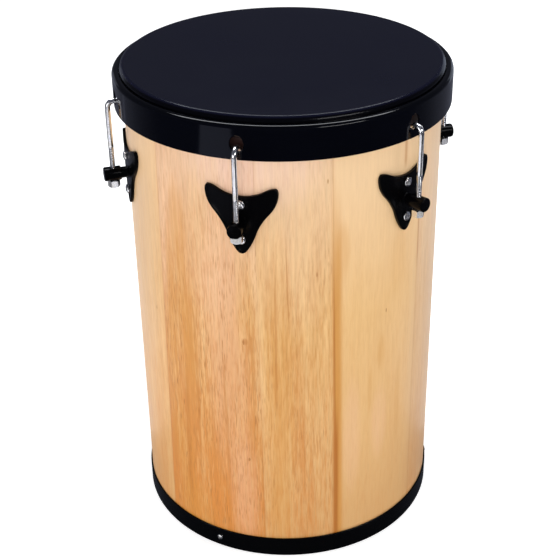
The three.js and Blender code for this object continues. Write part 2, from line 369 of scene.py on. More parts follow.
def makeCamera():
    card = photoCamera
    camera = addObject("camera", bpy.data.cameras.new("camera"))
    place = around(card["turn"], card["back"], card["height"])
    camera.location = place + around(card["turn"] + 90, card["aside"], 0)
    facing = Matrix.Identity(4)
    for degrees, axis in ((card["turn"], "Z"), (90 - card["pitch"], "X"), (card["roll"], "Z")):
        facing = facing @ Matrix.Rotation(math.radians(degrees), 4, axis)
    camera.rotation_euler = facing.to_euler()
    camera.data.lens = card["lens"]
    camera.data.sensor_width = 36
    camera.data.shift_x, camera.data.shift_y = card["shift"]
    camera.data.clip_start, camera.data.clip_end = card["clip"]
    bpy.context.scene.camera = camera


# Studio

studio = {
    "floorReach": 9.0,
    "floorColor": (0.93, 0.93, 0.93, 1),
    "floorLift": 0.62,  # how much of its own light the floor adds
    "floorInGloss": (0.05, 0.17),  # floor's brightness in reflections, in front of the drum and behind it
    "glossReach": (-0.1, 0.5),  # how far behind the drum's axis that change runs
    "skyForCamera": 1.0,
    "skyForLight": 0.44,
    "skyInGloss": 0.1,
    "glossTint": (0.72, 0.76, 1, 1),
    "aim": 0.26,
    # job: "soft" lights every piece, "gloss" shows in all reflections, a group's name in that group's only
    # name, job, degrees round from the first lug, distance, height, width, tall, power, colour
    "lights": [
        ("front_box", "soft", 8, 2.2, 0.85, 1.5, 0.9, 12.9, (1, 0.98, 0.96)),
        ("left_box", "soft", -58, 1.5, 0.16, 0.6, 0.4, 5.4, (1, 0.98, 0.96)),
        ("right_box", "soft", 88, 1.7, 0.8, 0.5, 1.3, 4.1, (0.97, 0.98, 1)),
        ("right_rim", "soft", 158, 1.5, 0.55, 0.5, 1.2, 7.6, (0.9, 0.95, 1)),
        ("left_rim", "soft", -126, 1.5, 0.3, 0.4, 0.9, 7.2, (0.93, 0.96, 1)),
        ("right_edge", "gloss", 158, 1.5, 0.4, 0.5, 0.9, 0.8, (0.72, 0.82, 1)),
        ("left_edge", "gloss", -126, 1.5, 0.4, 0.4, 0.9, 0.4, (0.74, 0.8, 1)),
        ("top_gloss", "all_but_skin", 194.7, 0.25, 1.75, 2.1, 0.34, 29, (0.93, 0.95, 1)),
        ("skin_gloss", "skin", 194.7, 0.95, 1.9, 1.7, 0.3, 11, (0.86, 0.92, 1)),
        ("right_gloss", "gloss", 52, 1.5, 1.12, 0.8, 0.16, 5, (1, 1, 1)),
        ("steel_front", "bright_steel", -22, 1.5, 0.5, 0.9, 0.6, 4.5, (1, 1, 1)),
        ("steel_back", "bright_steel", 170, 1.5, 0.5, 0.9, 0.6, 4.5, (1, 1, 1)),
    ],
    "cardHeight": 0.002,
    "cardColor": (0.95, 0.95, 1),
    # low cards: job, degrees, distance, width, depth, power
    "lowCards": [
        ("gloss", -28, 1.13, 0.42, 0.5, 0.46),
        ("gloss", -112, 1.15, 0.06, 0.5, 0.012),
        ("bright_steel", -20, 0.85, 1.5, 0.55, 3.2),
        ("bright_steel", 100, 0.8, 0.5, 0.5, 0.7),
        ("bright_steel", -13, 0.42, 0.8, 0.5, 1.2),
        ("tuning_nuts", 45, 0.68, 0.64, 0.42, 0.62),
        ("tuning_nuts", -63, 0.68, 0.5, 0.36, 0.3),
        ("shell_wood", -125, 0.55, 0.9, 0.8, 1.35),
        ("shell_wood", 155, 0.55, 0.9, 0.8, 1.35),
    ],
}


def emptyTree(owner):
    owner.use_nodes = True
    owner.node_tree.nodes.clear()
    return owner.node_tree


def choose(tree, share, first, second):
    return put(tree, "MixShader", {0: share, 1: first, 2: second}).outputs[0]


def makeFloor():
    reach = studio["floorReach"]
    mesh = bpy.data.meshes.new("floor")
    mesh.from_pydata([(x * reach, y * reach, 0) for x, y in squareCorners], [], [(0, 1, 2, 3)])
    floor = addObject("floor", mesh)
    paper = bpy.data.materials.new("floorPaper")
    tree = emptyTree(paper)
    matte = put(tree, "BsdfDiffuse", {"Color": studio["floorColor"]}).outputs[0]
    glow = put(tree, "Emission", {"Strength": studio["floorLift"]}).outputs[0]
    lit = put(tree, "AddShader", {0: matte, 1: glow}).outputs[0]
    where = put(tree, "NewGeometry").outputs["Position"]
    backward = -around(photoCamera["turn"], 1, 0)
    behind = put(tree, "VectorMath", {0: where, 1: backward}, operation="DOT_PRODUCT").outputs["Value"]
    near, far = studio["glossReach"]
    dark, light = studio["floorInGloss"]
    change = {"Value": behind, "From Min": near, "From Max": far, "To Min": dark, "To Max": light}
    strength = put(tree, "MapRange", change).outputs[0]
    dim = put(tree, "Emission", {"Strength": strength, "Color": studio["glossTint"]}).outputs[0]
    rays = put(tree, "LightPath").outputs
    put(tree, "OutputMaterial", {"Surface": choose(tree, rays["Is Glossy Ray"], lit, dim)})
    mesh.materials.append(paper)


def makeSky():
    world = bpy.data.worlds.new("sky")
    tree = emptyTree(world)
    white = (1, 1, 1, 1)
    shades = []
    for key, color in (("skyForCamera", white), ("skyForLight", white), ("skyInGloss", studio["glossTint"])):
        shades.append(put(tree, "Background", {"Strength": studio[key], "Color": color}).outputs[0])
    forCamera, forLight, inGloss = shades
    rays = put(tree, "LightPath").outputs
    unseen = choose(tree, rays["Is Glossy Ray"], forLight, inGloss)
    put(tree, "OutputWorld", {"Surface": choose(tree, rays["Is Camera Ray"], unseen, forCamera)})
    bpy.context.scene.world = world


def addLight(name, job, place, aim, size, power, color):
    light = bpy.data.lights.new(name, "AREA")
    light.shape = "RECTANGLE"
    light.size, light.size_y = size
    light.energy = power
    light.color = color
    lamp = addObject(name, light)
    lamp.location = place
    lamp.rotation_euler = (aim - place).to_track_quat("-Z", "Y").to_euler()
    lamp.visible_camera = False
    lamp.visible_glossy = job != "soft"
    lamp.visible_diffuse = job == "soft"
    if job in lightGroups:
        lamp.light_linking.receiver_collection = lightGroups[job]
    return lamp


def makeLights():
    aim = Vector((0, 0, studio["aim"]))
    for name, job, turn, distance, height, width, tall, power, color in studio["lights"]:
        addLight(name, job, around(turn, distance, height), aim, (width, tall), power, color)
    for number, (job, turn, distance, width, depth, power) in enumerate(studio["lowCards"]):
        place = around(turn, distance, studio["cardHeight"])
        color = studio["glossTint"][:3] if job == "gloss" else studio["cardColor"]
        card = addLight(f"low_card_{number}", job, place, place, (width, depth), power, color)
        card.rotation_euler = (math.pi, 0, math.radians(turn))


makeCamera()
makeFloor()
makeSky()
makeLights()
view = bpy.context.scene.view_settings
view.view_transform = "Standard"
view.look = "None"
print("camera and studio ready")


# Shell, glued from upright staves

shellCard = {
    "wall": 0.008,
    "footRound": 0.0008,
    "edgeRound": 0.0032,
    "crest": 0.0008,
    # each stave: degrees where it starts at the foot and at the top, warmth, streaks, pores, rose
    "staves": [
        (-153, -154, 0.35, 0.7, 0.4, 0.2),
        (-121, -120, 0.75, 1.0, 0.8, 0.4),
        (-95, -96, 0.15, 0.5, 0.2, 0.1),
        (-67, -67, 0.3, 0.5, 0.3, 0.5),
        (-38, -34.3, 0.87, 1.0, 1.0, 0.3),
        (5.3, 4.3, 0.41, 0.8, 0.5, 0.0),
        (33.1, 30.3, 0.08, 0.28, 0.12, 0.0),
        (70.6, 69.8, 0.25, 0.5, 0.3, 0.1),
        (101, 102, 0.7, 0.9, 0.7, 0.4),
        (128, 127, 0.2, 0.6, 0.3, 0.2),
        (165, 166, 0.5, 0.9, 0.6, 0.3),
    ],
    "seamRoom": 0.4,  # degrees kept clear of other edges beside a seam
    "screwHole": 0.0023,
    "pilotHole": 0.0015,
    "pilotShare": 0.7,  # the pilot holes' depth in the wall
}
woodCard = {
    # colours by share of the height, for the palest and the warmest stave: darker and warmer towards the
    # foot, paler towards the top, partly the wood's own tone and partly painted light from above
    "light": [(0.09, (0.70, 0.40, 0.15)), (0.31, (0.78, 0.465, 0.185)), (0.58, (0.82, 0.51, 0.21)),
              (0.87, (0.89, 0.61, 0.335))],
    "warm": [(0.09, (0.655, 0.24, 0.036)), (0.31, (0.65, 0.265, 0.055)), (0.58, (0.63, 0.295, 0.075)),
             (0.87, (0.73, 0.46, 0.275))],
    "rose": (0.87, 0.53, 0.33),
    "gold": (0.64, 0.275, 0.035),
    "amber": (0.48, 0.15, 0.008),
    "cream": (0.94, 0.68, 0.38),
    "blush": (0.97, 0.68, 0.58),
    # painted shade: the colour of the patches that darken the upper left and the right side
    "shade": (0.60, 0.40, 0.22),
    "pore": (0.42, 0.15, 0.025),
    "fleck": (0.60, 0.22, 0.04),
    # painted shade: the colour of the outer wall under the hoop, seen through its eyes
    "paintedShadeUnderHoop": (0.035, 0.012, 0.009),
    "looks": {"Roughness": 0.42, "Coat Weight": 0.2, "Coat Roughness": 0.25, "Sheen Weight": 0.12,
              "Sheen Roughness": 0.35, "Sheen Tint": (0.85, 0.92, 1, 1)},
    # scale across, inward and along, detail, roughness, distortion
    "noises": {
        "broad": ((24, 30, 4), 2, 0.5, 0.3),
        "slow": ((80, 40, 4), 3, 0.55),
        "streaky": ((300, 90, 9), 3, 0.6),
        "dashes": ((620, 200, 60), 2, 0.6),
        "fibre": ((900, 300, 40), 3, 0.65),
        "poreField": ((1200, 500, 75), 1),
        "poreArea": ((60, 30, 9), 2),
    },
    "sway": {"slow": 1.7, "streaky": 1.3, "dashes": 1.6},  # how far each moves a stave's warmth
    "heightSway": 0.22,
    # what each strength follows, that value where it starts and ends, and the strengths there if not 0 and 1
    "strengths": {
        "calm": ("height", 0.42, 0.26, 0.4, 1),
        "porous": ("poreField", 0.56, 0.7),
        "porousArea": ("poreArea", 0.3, 0.6),
        "flecked": ("dashes", 0.52, 0.64),
        "rosy": ("broad", 0.4, 0.62),
        "rosyUpward": ("height", 0.12, 0.3),
        "shading": ("fibre", 0.25, 0.75, -0.075, 0.075),
        "clouded": ("streaky", 0.25, 0.7, 0.5, 1),
        "streaked": ("broad", 0.3, 0.6, 0.7, 1),
        "joint": ("edge", 0.0007, 0.0001, 0, 0.35),
        "glow": ("edge", 0.003, 0.0004, 0, 0.1),
        # painted shade under the hoop: by height, from just above the hoop's lower edge
        "paintedHoopShade": ("height", hoopLow + 0.003, hoopLow + 0.0045),
        "outside": ("deep", shellRadius - 0.002, shellRadius - 0.001),
        "polish": ("fibre", 0.2, 0.8, 0.37, 0.5),
    },
    "fleckStrength": 0.3,
    "poreStrength": 0.65,
    "markStrength": 0.8,
    "markRagged": 5.0,
    "relief": (0.12, 0.0002),
    "reliefShares": (0.4, 0.8),  # of the fibre and of the joints, against the pores
    # lines along the grain: degrees and height of each end, half width, strength, colour
    "streaks": [
        ((31.7, 0.40), (34.5, -0.1), 0.0038, 0.9, "gold"),
        ((31.0, 0.345), (33.2, -0.1), 0.0009, 0.85, "amber"),
        ((32.2, 0.18), (33.0, -0.06), 0.0022, 1.0, "amber"),
        ((14.6, 0.336), (15.4, 0.25), 0.0006, 0.5, "amber"),
        ((60.2, 0.418), (60.2, 0.386), 0.0016, 0.7, "amber"),
        ((70.0, 0.345), (70.2, 0.28), 0.0008, 0.6, "amber"),
        ((11.0, 0.32), (10.5, 0.16), 0.0009, 0.4, "amber"),
        ((3.9, 0.37), (4.6, 0.13), 0.0034, 0.3, "cream"),
        ((-26, 0.2), (-27, 0.03), 0.0022, 0.45, "amber"),
        ((-20, 0.27), (-21, 0.06), 0.0012, 0.35, "amber"),
        ((-9, 0.24), (-8, 0.05), 0.0012, 0.35, "amber"),
    ],
    "streakEdge": (1.8, 0.2),  # where a line starts and is full, in half widths
    "streakWave": 0.002,
    "streakEnd": 0.004,
    "streakFade": 0.25,
    # soft patches: degrees, height, half width, half height, strength, colour; the patches in the shade
    # colour are painted shade on the sides
    "clouds": [
        (34.5, 0.325, 0.008, 0.035, 0.4, "gold"),
        (58, 0.30, 0.014, 0.045, 0.2, "gold"),
        (26, 0.21, 0.012, 0.035, 0.2, "gold"),
        (12, 0.18, 0.016, 0.2, 0.5, "gold"),
        (-31, 0.26, 0.007, 0.10, 0.55, "gold"),
        (-33, 0.17, 0.013, 0.11, 0.55, "gold"),
        (-26, 0.335, 0.014, 0.06, 0.5, "gold"),
        # painted shade on the upper left side
        (-50, 0.34, 0.045, 0.2, 0.5, "shade"),
        (-24, 0.24, 0.014, 0.12, 0.4, "gold"),
        (-28, 0.09, 0.014, 0.09, 0.4, "gold"),
        (-24, 0.03, 0.03, 0.05, 0.5, "gold"),
        (11, 0.05, 0.014, 0.06, 0.35, "gold"),
        (-7, 0.20, 0.026, 0.14, 0.35, "rose"),
        (-2, 0.07, 0.018, 0.09, 0.4, "rose"),
        (-0.3, 0.2395, 0.0036, 0.0046, 0.6, "amber"),
        (51.1, 0.2114, 0.005, 0.024, 0.4, "gold"),
        (46.3, 0.176, 0.003, 0.034, 0.3, "gold"),
        (38.9, 0.13, 0.012, 0.08, 0.35, "rose"),
        (51, 0.135, 0.012, 0.05, 0.35, "rose"),
        (60.5, 0.15, 0.005, 0.06, 0.25, "gold"),
        # painted shade on the right side
        (80, 0.2, 0.045, 0.26, 0.35, "shade"),
        (-14, 0.31, 0.03, 0.06, 0.15, "rose"),
        (4, 0.43, 0.078, 0.075, 0.55, "blush"),
    ],
    # small knots and slits: degrees, height, half width, half height
    "marks": [
        (-41.2, 0.2415, 0.0007, 0.0022),
        (25.2, 0.306, 0.0009, 0.0028),
        (52.9, 0.2537, 0.0006, 0.002),
        (28.9, 0.3918, 0.0006, 0.002),
        (-0.9, 0.2385, 0.0009, 0.0022),
        (-0.2, 0.1114, 0.0011, 0.0018),
        (-30.9, 0.1746, 0.0006, 0.0032),
        (-27.7, 0.1549, 0.0006, 0.0032),
    ],
    "cloudRim": (1, 0),  # squared radii where a patch starts and is full
    "markRim": (1.6, 0.3),
}


# What the shell's mesh tells the wood at each corner
wallFacts = {
    "grainPlace": ("across", "deep", "height"),
    "staveFacts": ("left", "right", "warmth"),
    "staveLooks": ("streakShare", "poreShare", "roseShare"),
}


# Everything that the wood's figure is made of, by name
def readGrain(tree):
    grain = {}
    for name, parts in wallFacts.items():
        fact = put(tree, "Attribute", attribute_name=name).outputs["Vector"]
        grain |= zip(parts, put(tree, "SeparateXYZ", {0: fact}).outputs)
    inward = plus(grain["deep"], grain["warmth"])
    place = put(tree, "CombineXYZ", {0: grain["across"], 1: inward, 2: grain["height"]}).outputs[0]
    for name, settings in woodCard["noises"].items():
        grain[name] = noise(place, *settings)
    grain["edge"] = maths("MINIMUM", grain["left"], grain["right"])
    for name, (source, *reach) in woodCard["strengths"].items():
        grain[name] = between(grain[source], *reach)
    poreShare = times(grain["calm"], grain["poreShare"])
    grain["pores"] = times(grain["porous"], grain["porousArea"], poreShare)
    grain["flecks"] = times(grain["flecked"], poreShare)
    return grain


def staveColor(grain):
    card = woodCard
    # the height picks the colour from the ramps; the paler top is partly painted light
    tall = plus(maths("DIVIDE", grain["height"], drumTop), swing(grain["broad"], card["heightSway"]))
    sway = plus(*[swing(grain[name], reach) for name, reach in card["sway"].items()])
    sway = times(sway, grain["calm"], grain["streakShare"])
    warm = maths("ADD", grain["warmth"], sway, clamp=True)
    color = mixed(warm, ramp(tall, card["light"]), ramp(tall, card["warm"]))
    color = mixed(times(grain["rosy"], grain["roseShare"], grain["rosyUpward"]), color, card["rose"])
    shade = plus(times(grain["shading"], grain["streakShare"]), 1.0)
    gray = put(shade.id_data, "CombineColor", {0: shade, 1: shade, 2: shade}).outputs[0]
    return mixed(1.0, color, gray, "MULTIPLY")


def onWall(degrees):
    return math.radians(degrees) * shellRadius


# 1 inside an ellipse on the wall and 0 outside it, with a soft rim
def spotMask(grain, spot, rim, ragged=0.0):
    turn, spotHeight, halfWidth, halfTall = spot
    x = maths("DIVIDE", minus(grain["across"], onWall(turn)), halfWidth)
    z = maths("DIVIDE", minus(grain["height"], spotHeight), halfTall)
    return between(plus(times(x, x), times(z, z), ragged), *rim)


def streakMask(grain, start, end, halfWidth):
    card = woodCard
    slope = (onWall(end[0]) - onWall(start[0])) / (end[1] - start[1])
    wave = swing(grain["slow"], card["streakWave"])
    line = plus(times(minus(grain["height"], start[1]), slope), onWall(start[0]), wave)
    gap = maths("ABSOLUTE", minus(line, grain["across"]))
    low, high = sorted((start[1], end[1]))
    fade = (high - low) * card["streakFade"]
    return times(
        between(gap, *[halfWidth * share for share in card["streakEdge"]]),
        between(grain["height"], low - card["streakEnd"], low + fade),
        between(grain["height"], high + card["streakEnd"], high - fade),
        grain["streaked"],
    )


def woodMaterial():
    card = woodCard
    material, shader = newMaterial("lacqueredWood", card["looks"])
    grain = readGrain(material.node_tree)
    color = staveColor(grain)
    for *spot, strength, tone in card["clouds"]:
        patch = times(spotMask(grain, spot, card["cloudRim"]), grain["clouded"], strength)
        color = mixed(patch, color, card[tone])
    color = mixed(maths("MAXIMUM", grain["joint"], grain["glow"]), color, card["amber"])
    for *line, strength, tone in card["streaks"]:
        color = mixed(times(streakMask(grain, *line), strength), color, card[tone])
    color = mixed(times(grain["flecks"], card["fleckStrength"]), color, card["fleck"])
    color = mixed(times(grain["pores"], card["poreStrength"]), color, card["pore"])
    ragged = swing(grain["poreField"], card["markRagged"])
    for mark in card["marks"]:
        patch = times(spotMask(grain, mark, card["markRim"], ragged), card["markStrength"])
        color = mixed(patch, color, card["pore"])
    # painted shade on the outer wall under the hoop
    feed(shader, "Base Color", mixed(times(grain["paintedHoopShade"], grain["outside"]), color, card["paintedShadeUnderHoop"]))
    feed(shader, "Roughness", grain["polish"])
    fibreShare, jointShare = card["reliefShares"]
    relief = minus(times(grain["fibre"], fibreShare), grain["pores"])
    bump(shader, minus(relief, times(grain["joint"], jointShare)), *card["relief"])
    return material


def seamTurn(stave, height):
    return stave[0] + (stave[1] - stave[0]) * height / shellTop


# Writes each corner's place along the wall, and its distance from the stave's two edges, for the wood
def paintStaves(mesh):
    staves = shellCard["staves"]
    for name in wallFacts:
        mesh.attributes.new(name, "FLOAT_VECTOR", "CORNER")
    places, facts, looks = [mesh.attributes[name] for name in wallFacts]
    for face in mesh.polygons:
        middle = math.degrees(math.atan2(face.center.x, -face.center.y))
        starts = [seamTurn(stave, face.center.z) for stave in staves]
        number = max((i for i, start in enumerate(starts) if start <= middle), default=len(staves) - 1)
        stave, following = staves[number], staves[(number + 1) % len(staves)]
        for corner in face.loop_indices:
            place = mesh.vertices[mesh.loops[corner].vertex_index].co
            turn = math.degrees(math.atan2(place.x, -place.y))
            turn += 360 * round((middle - turn) / 360)
            left = (turn - seamTurn(stave, place.z) + 180) % 360 - 180
            right = (seamTurn(following, place.z) - turn + 180) % 360 - 180
            places.data[corner].vector = (onWall(turn), math.hypot(place.x, place.y), place.z)
            facts.data[corner].vector = (onWall(left), onWall(right), stave[2])
            looks.data[corner].vector = stave[3:]


def makeShell():
    card = shellCard
    inside = shellRadius - card["wall"]
    crest = shellRadius - card["edgeRound"]
    bevel = crest - card["crest"]
    foot = card["footRound"]
    profile = [(inside, foot), (inside + foot, 0), (shellRadius - foot, 0), (shellRadius, foot)]
    profile += arcPoints(crest, shellTop - card["edgeRound"], card["edgeRound"], 0, 90, 6)
    profile += [(bevel, shellTop), (inside, shellTop - (bevel - inside))]
    turns = [(i * 360 / roundSides - 180,) * 2 for i in range(roundSides)]
    for stave in card["staves"]:
        low, high = min(stave[:2]) - card["seamRoom"], max(stave[:2]) + card["seamRoom"]
        turns = [turn for turn in turns if not low < turn[0] < high]
        turns.append(stave[:2])
    builder = bmesh.new()
    columns = []
    for turn in sorted(turns):
        column = [around(seamTurn(turn, z), r, z) for r, z in profile]
        columns.append([builder.verts.new(place) for place in column])
    for column, following in zip(columns, columns[1:] + columns[:1]):
        bridge(builder, column, following)
    shell = makePiece("drum_shell", builder, woodMaterial())
    drills = []
    outside = shellRadius + overrun
    for number, turn in enumerate(lugTurns, 1):
        for side in ("upper", "lower"):
            height = middleHeight(f"{side}_screw_{number}")
            drills.append(drill(card["screwHole"], inside - overrun, outside, height, turn))
    pilotEnd = shellRadius - card["wall"] * card["pilotShare"]
    for number, turn in enumerate(bandCard["screwTurns"], 1):
        height = middleHeight(f"band_screw_{number}")
        drills.append(drill(card["pilotHole"], pilotEnd, outside, height, turn, 16))
    reshape(shell, [joinPieces(drills)])
    roundWalls(shell)
    paintStaves(shell.data)
    fit(shell, "shell", "drum", "shell_wood")


# Skin, with its lap under the flesh hoop

skinCard = {
    "thickness": 0.0016,
    "innerRound": 0.0035,
    "wrapRadius": 0.1434,
    "lapShare": 0.45,  # the round of the lap's end, in thicknesses
    "flatCut": 0.322,  # the disc's width before it is stretched
    "color": (0.006, 0.0066, 0.0225),
    "colorWorn": (0.0073, 0.0079, 0.0255),
    # painted shade on the skin's side, where it turns down into the hoop
    "paintedShadeSide": (0.0008, 0.0008, 0.002),
    "paintedShadeDrop": (0.0004, 0.002),  # below the top, where the side's colour starts and is full
    "looks": {"Roughness": 0.3, "Specular IOR Level": 0.18},
    "roughness": (0.26, 0.35),
    "edgeSmoother": -0.13,  # added to the roughness where the skin turns down
    "edgeDrop": (0.00003, 0.0002),
    "grainScale": 900,
    "fineScale": 2600,
    "fineShare": 0.4,
    "relief": (0.12, 0.0002),
}


def skinMaterial():
    card = skinCard
    material, shader = newMaterial("leathercloth", card["looks"])
    tree = material.node_tree
    place = objectPlace(tree)
    height = put(tree, "SeparateXYZ", {0: place}).outputs[2]
    cloud = noise(place, 9, 3)
    face = mixed(cloud, card["color"], card["colorWorn"])
    # painted shade: the skin's side, below the top, goes near black
    side = between(height, *[drumTop - drop for drop in card["paintedShadeDrop"]])
    feed(shader, "Base Color", mixed(side, face, card["paintedShadeSide"]))
    edge = between(height, *[drumTop - drop for drop in card["edgeDrop"]], 0, card["edgeSmoother"])
    feed(shader, "Roughness", plus(uneven(cloud, *card["roughness"]), edge))
    cells = put(tree, "TexVoronoi", {"Vector": place, "Scale": card["grainScale"]}, feature="SMOOTH_F1")
    fine = times(noise(place, card["fineScale"]), card["fineShare"])
    bump(shader, plus(cells.outputs["Distance"], fine), *card["relief"])
    return material


def makeSkin():
    card = skinCard
    thickness = card["thickness"]
    inner = card["innerRound"]
    outer = inner + thickness
    turnAt = card["wrapRadius"] - outer
    lapTop = skinLapLow + thickness
    lapRound = thickness * card["lapShare"]
    lapEnd = skinLapRadius - lapRound
    profile = [(0, drumTop - thickness), (turnAt * 0.5, drumTop - thickness)]
    profile += arcPoints(turnAt, drumTop - outer, inner, 90, 0, 8)
    profile += [(turnAt + inner, skinLapLow), (lapEnd, skinLapLow)]
    profile += arcPoints(lapEnd, skinLapLow + thickness / 2, lapRound, -90, 90, 6)[1:-1]
    profile += [(lapEnd, lapTop), (card["wrapRadius"], lapTop)]
    profile += arcPoints(turnAt, drumTop - outer, outer, 0, 90, 12)
    profile += [(turnAt * share, drumTop) for share in (0.8, 0.5, 0.2, 0)]
    skin = makePiece("stretched_skin", turned(profile, roundSides), skinMaterial(), 50)
    fit(skin, "head_skin", "drum", "skin")
    lightGroups["all_but_skin"].objects.link(skin)
    lightGroups["all_but_skin"].collection_objects[0].light_linking.link_state = "EXCLUDE"


# Counterhoop

hoopCard = {
    "wall": 0.002,
    "shoulder": 0.004,
    "lip": 0.002,
    "lipShare": 0.3,  # the round of the lip's edge, in thicknesses of the lip
    "lipRadius": 0.1437,
    "rimRound": 0.0006,
    "eyeWidth": 0.0115,
    "eyeTall": 0.0134,
    "eyeDrop": 0.0097,
    "eyeRound": 0.0004,
    "eyeSides": 48,
    "color": (0.0006, 0.0008, 0.002),
    "looks": {"Roughness": 0.08, "Specular IOR Level": 0.23},
}
enamelCard = {
    "dustScale": 14,
    "dustShare": 1.6,
    "smearScale": 60,
    "smearShares": (0.8, 1.35),
    "peelScale": 260,
    "relief": (0.03, 0.0004),
}


def enamelMaterial(name, color, looks):
    card = enamelCard
    material, shader = newMaterial(name, looks)
    place = objectPlace(material.node_tree)
    dusty = [channel * card["dustShare"] for channel in color]
    feed(shader, "Base Color", mixed(noise(place, card["dustScale"]), color, dusty))
    reach = [looks["Roughness"] * share for share in card["smearShares"]]
    feed(shader, "Roughness", uneven(noise(place, card["smearScale"], 3), *reach))
    bump(shader, noise(place, card["peelScale"]), *card["relief"])
    return material


def eyeCutter(inside):
    card = hoopCard
    flare = card["eyeRound"]
    half = card["eyeWidth"] / 2
    wide = half + 0.002
    steps = [(0, inside - overrun), (wide, inside - overrun), (wide, inside - 0.001), (half, inside + flare)]
    steps += [(half, hoopRadius - flare * 1.5), (half + flare * 3, hoopRadius + flare * 1.5)]
    steps += [(0, hoopRadius + flare * 1.5)]
    builder = turned(steps, card["eyeSides"])
    builder.transform(Matrix.Diagonal((1, card["eyeTall"] / card["eyeWidth"], 1, 1)))
    return makePiece("eye", layOutward(builder, hoopTop - card["eyeDrop"] - card["eyeTall"] / 2))


def makeCounterhoop():
    card = hoopCard
    rim = card["rimRound"]
    inside = hoopRadius - card["wall"]
    shoulderAt = hoopRadius - card["shoulder"]
    shoulderHeight = hoopTop - card["shoulder"]
    lipRound = card["lip"] * card["lipShare"]
    profile = [(inside, hoopLow + rim / 2), (inside + rim / 2, hoopLow)]
    profile += arcPoints(hoopRadius - rim, hoopLow + rim, rim, -90, 0, 4)
    profile += arcPoints(shoulderAt, shoulderHeight, card["shoulder"], 0, 90, 12)
    profile += arcPoints(card["lipRadius"] + lipRound, hoopTop - lipRound, lipRound, 90, 180, 3)
    profile += [(card["lipRadius"], hoopTop - card["lip"])]
    profile += arcPoints(shoulderAt, shoulderHeight, card["shoulder"] - card["wall"], 90, 0, 5)
    enamel = enamelMaterial("hoopEnamel", card["color"], card["looks"])
    hoop = makePiece("tuning_hoop", turned(profile, roundSides), enamel)
    cutters = []
    for turn in lugTurns:
        cutters.append(eyeCutter(inside))
        cutters[-1].rotation_euler.z = math.radians(turn)
    reshape(hoop, [joinPieces(cutters)])
    roundWalls(hoop)
    fit(hoop, "counterhoop", "counterhoop_set", "hoop_black")


# Foot band and its screws

bandCard = {
    "thickness": 0.0013,
    "edgeRound": 0.0004,
    "screwTurns": (-13.2, 106.8, 226.8),
    "screwHole": 0.0015,
    "headRadius": 0.0028,
    "headTall": 0.0018,
    "shankRadius": 0.0012,
    "screwLength": 0.0065,
    "point": 0.0022,
    "color": (0.0006, 0.0007, 0.0009),
    "looks": {"Roughness": 0.14, "Specular IOR Level": 0.2},
}


def makeBand():
    card = bandCard
    soft = card["edgeRound"]
    inside = bandRadius - card["thickness"]
    profile = [(inside, 0), (bandRadius - soft, 0)]
    profile += arcPoints(bandRadius - soft, soft, soft, -90, 0, 3)[1:]
    profile += arcPoints(bandRadius - soft, bandTop - soft, soft, 0, 90, 4) + [(inside, bandTop)]
    enamel = enamelMaterial("bandEnamel", card["color"], card["looks"])
    band = makePiece("foot_band", turned(profile, roundSides), enamel)
    drills = []
    for number, turn in enumerate(card["screwTurns"], 1):
        height = middleHeight(f"band_screw_{number}")
        drills.append(drill(card["screwHole"], inside - overrun, bandRadius + overrun, height, turn))
    reshape(band, [joinPieces(drills)])
    roundWalls(band)
    fit(band, "bottom_band", "drum", "hoop_black")


# Bright plated steel

steelCard = {
    "color": (0.88, 0.88, 0.89),
    "tint": (0.80, 0.77, 0.70),
    "tintScale": 120,
    "tinted": (0.45, 0.75),  # the noise where the tint starts and is full
    "looks": {"Roughness": 0.2, "Metallic": 1},
    "roughness": (0.14, 0.3),
    "drawn": (1400, 1400, 60),  # the drawn finish's scale round the rod and along it
    "relief": (0.02, 0.0001),
}


def steelMaterial():
    card = steelCard
    material, shader = newMaterial("platedSteel", card["looks"])
    place = objectPlace(material.node_tree)
    tinted = between(noise(place, card["tintScale"], 3), *card["tinted"])
    feed(shader, "Base Color", mixed(tinted, card["color"], card["tint"]))
    drawn = noise(place, card["drawn"])
    feed(shader, "Roughness", uneven(drawn, *card["roughness"]))
    bump(shader, drawn, *card["relief"])
    return material


# Pan head screws with a cross recess, and hexagon nuts

fastenerCard = {
    # shares of the screw head's radius or height
    "rim": 0.34,
    "under": 0.94,
    "recessWide": 1.2,
    "recessNarrow": 0.34,
    "recessDeep": 0.75,
    "recessTaper": 0.72,
    "recessTurn": 28,
    "shankTip": (0.8, 0.25),  # radius and height of the blunt end's chamfer, in shank radii
    "nutRound": 0.96,  # where a nut's corners start to fall, in half widths
    "nutSink": 0.22,  # the bore's chamfer, in bores
    "nutFall": 30,
}


def crossRecess(headRadius, headTall, height):
    card = fastenerCard
    wide, narrow = headRadius * card["recessWide"] / 2, headRadius * card["recessNarrow"] / 2
    depth = headTall * card["recessDeep"]
    wedges = []
    for turn in (card["recessTurn"], card["recessTurn"] + 90):
        builder = bmesh.new()
        levels = []
        for level, scale in ((-depth, card["recessTaper"]), (depth, 2 - card["recessTaper"])):
            corners = [(x * wide * scale, y * narrow * scale, level) for x, y in squareCorners]
            levels.append([builder.verts.new(corner) for corner in corners])
        closeLoft(builder, levels)
        builder.transform(Matrix.Rotation(math.radians(turn), 4, "Z"))
        builder.transform(Matrix.Translation((0, 0, height)))
        wedges.append(makePiece("recess", builder))
    return wedges


def makeScrew(name, steel, headRadius, headTall, shankRadius, base, end, pointed=0):
    card = fastenerCard
    rim = headTall * card["rim"]
    tipRadius, tipTall = card["shankTip"]
    profile = [(0, end)]
    if pointed:
        profile += [(shankRadius, end + pointed)]
    else:
        profile += [(shankRadius * tipRadius, end), (shankRadius, end + shankRadius * tipTall)]
    profile += [(shankRadius, base), (headRadius * card["under"], base), (headRadius, base + rim * 0.3)]
    for i in range(9):
        turn = math.radians(i * 10)
        profile.append((headRadius * math.cos(turn), base + rim + (headTall - rim) * math.sin(turn)))
    profile += [(0, base + headTall)]
    screw = makePiece(name, turned(profile, 40), steel, 30)
    reshape(screw, crossRecess(headRadius, headTall, base + headTall), sharpAngle=30)
    screw.data.transform(quarterTurn)
    return screw


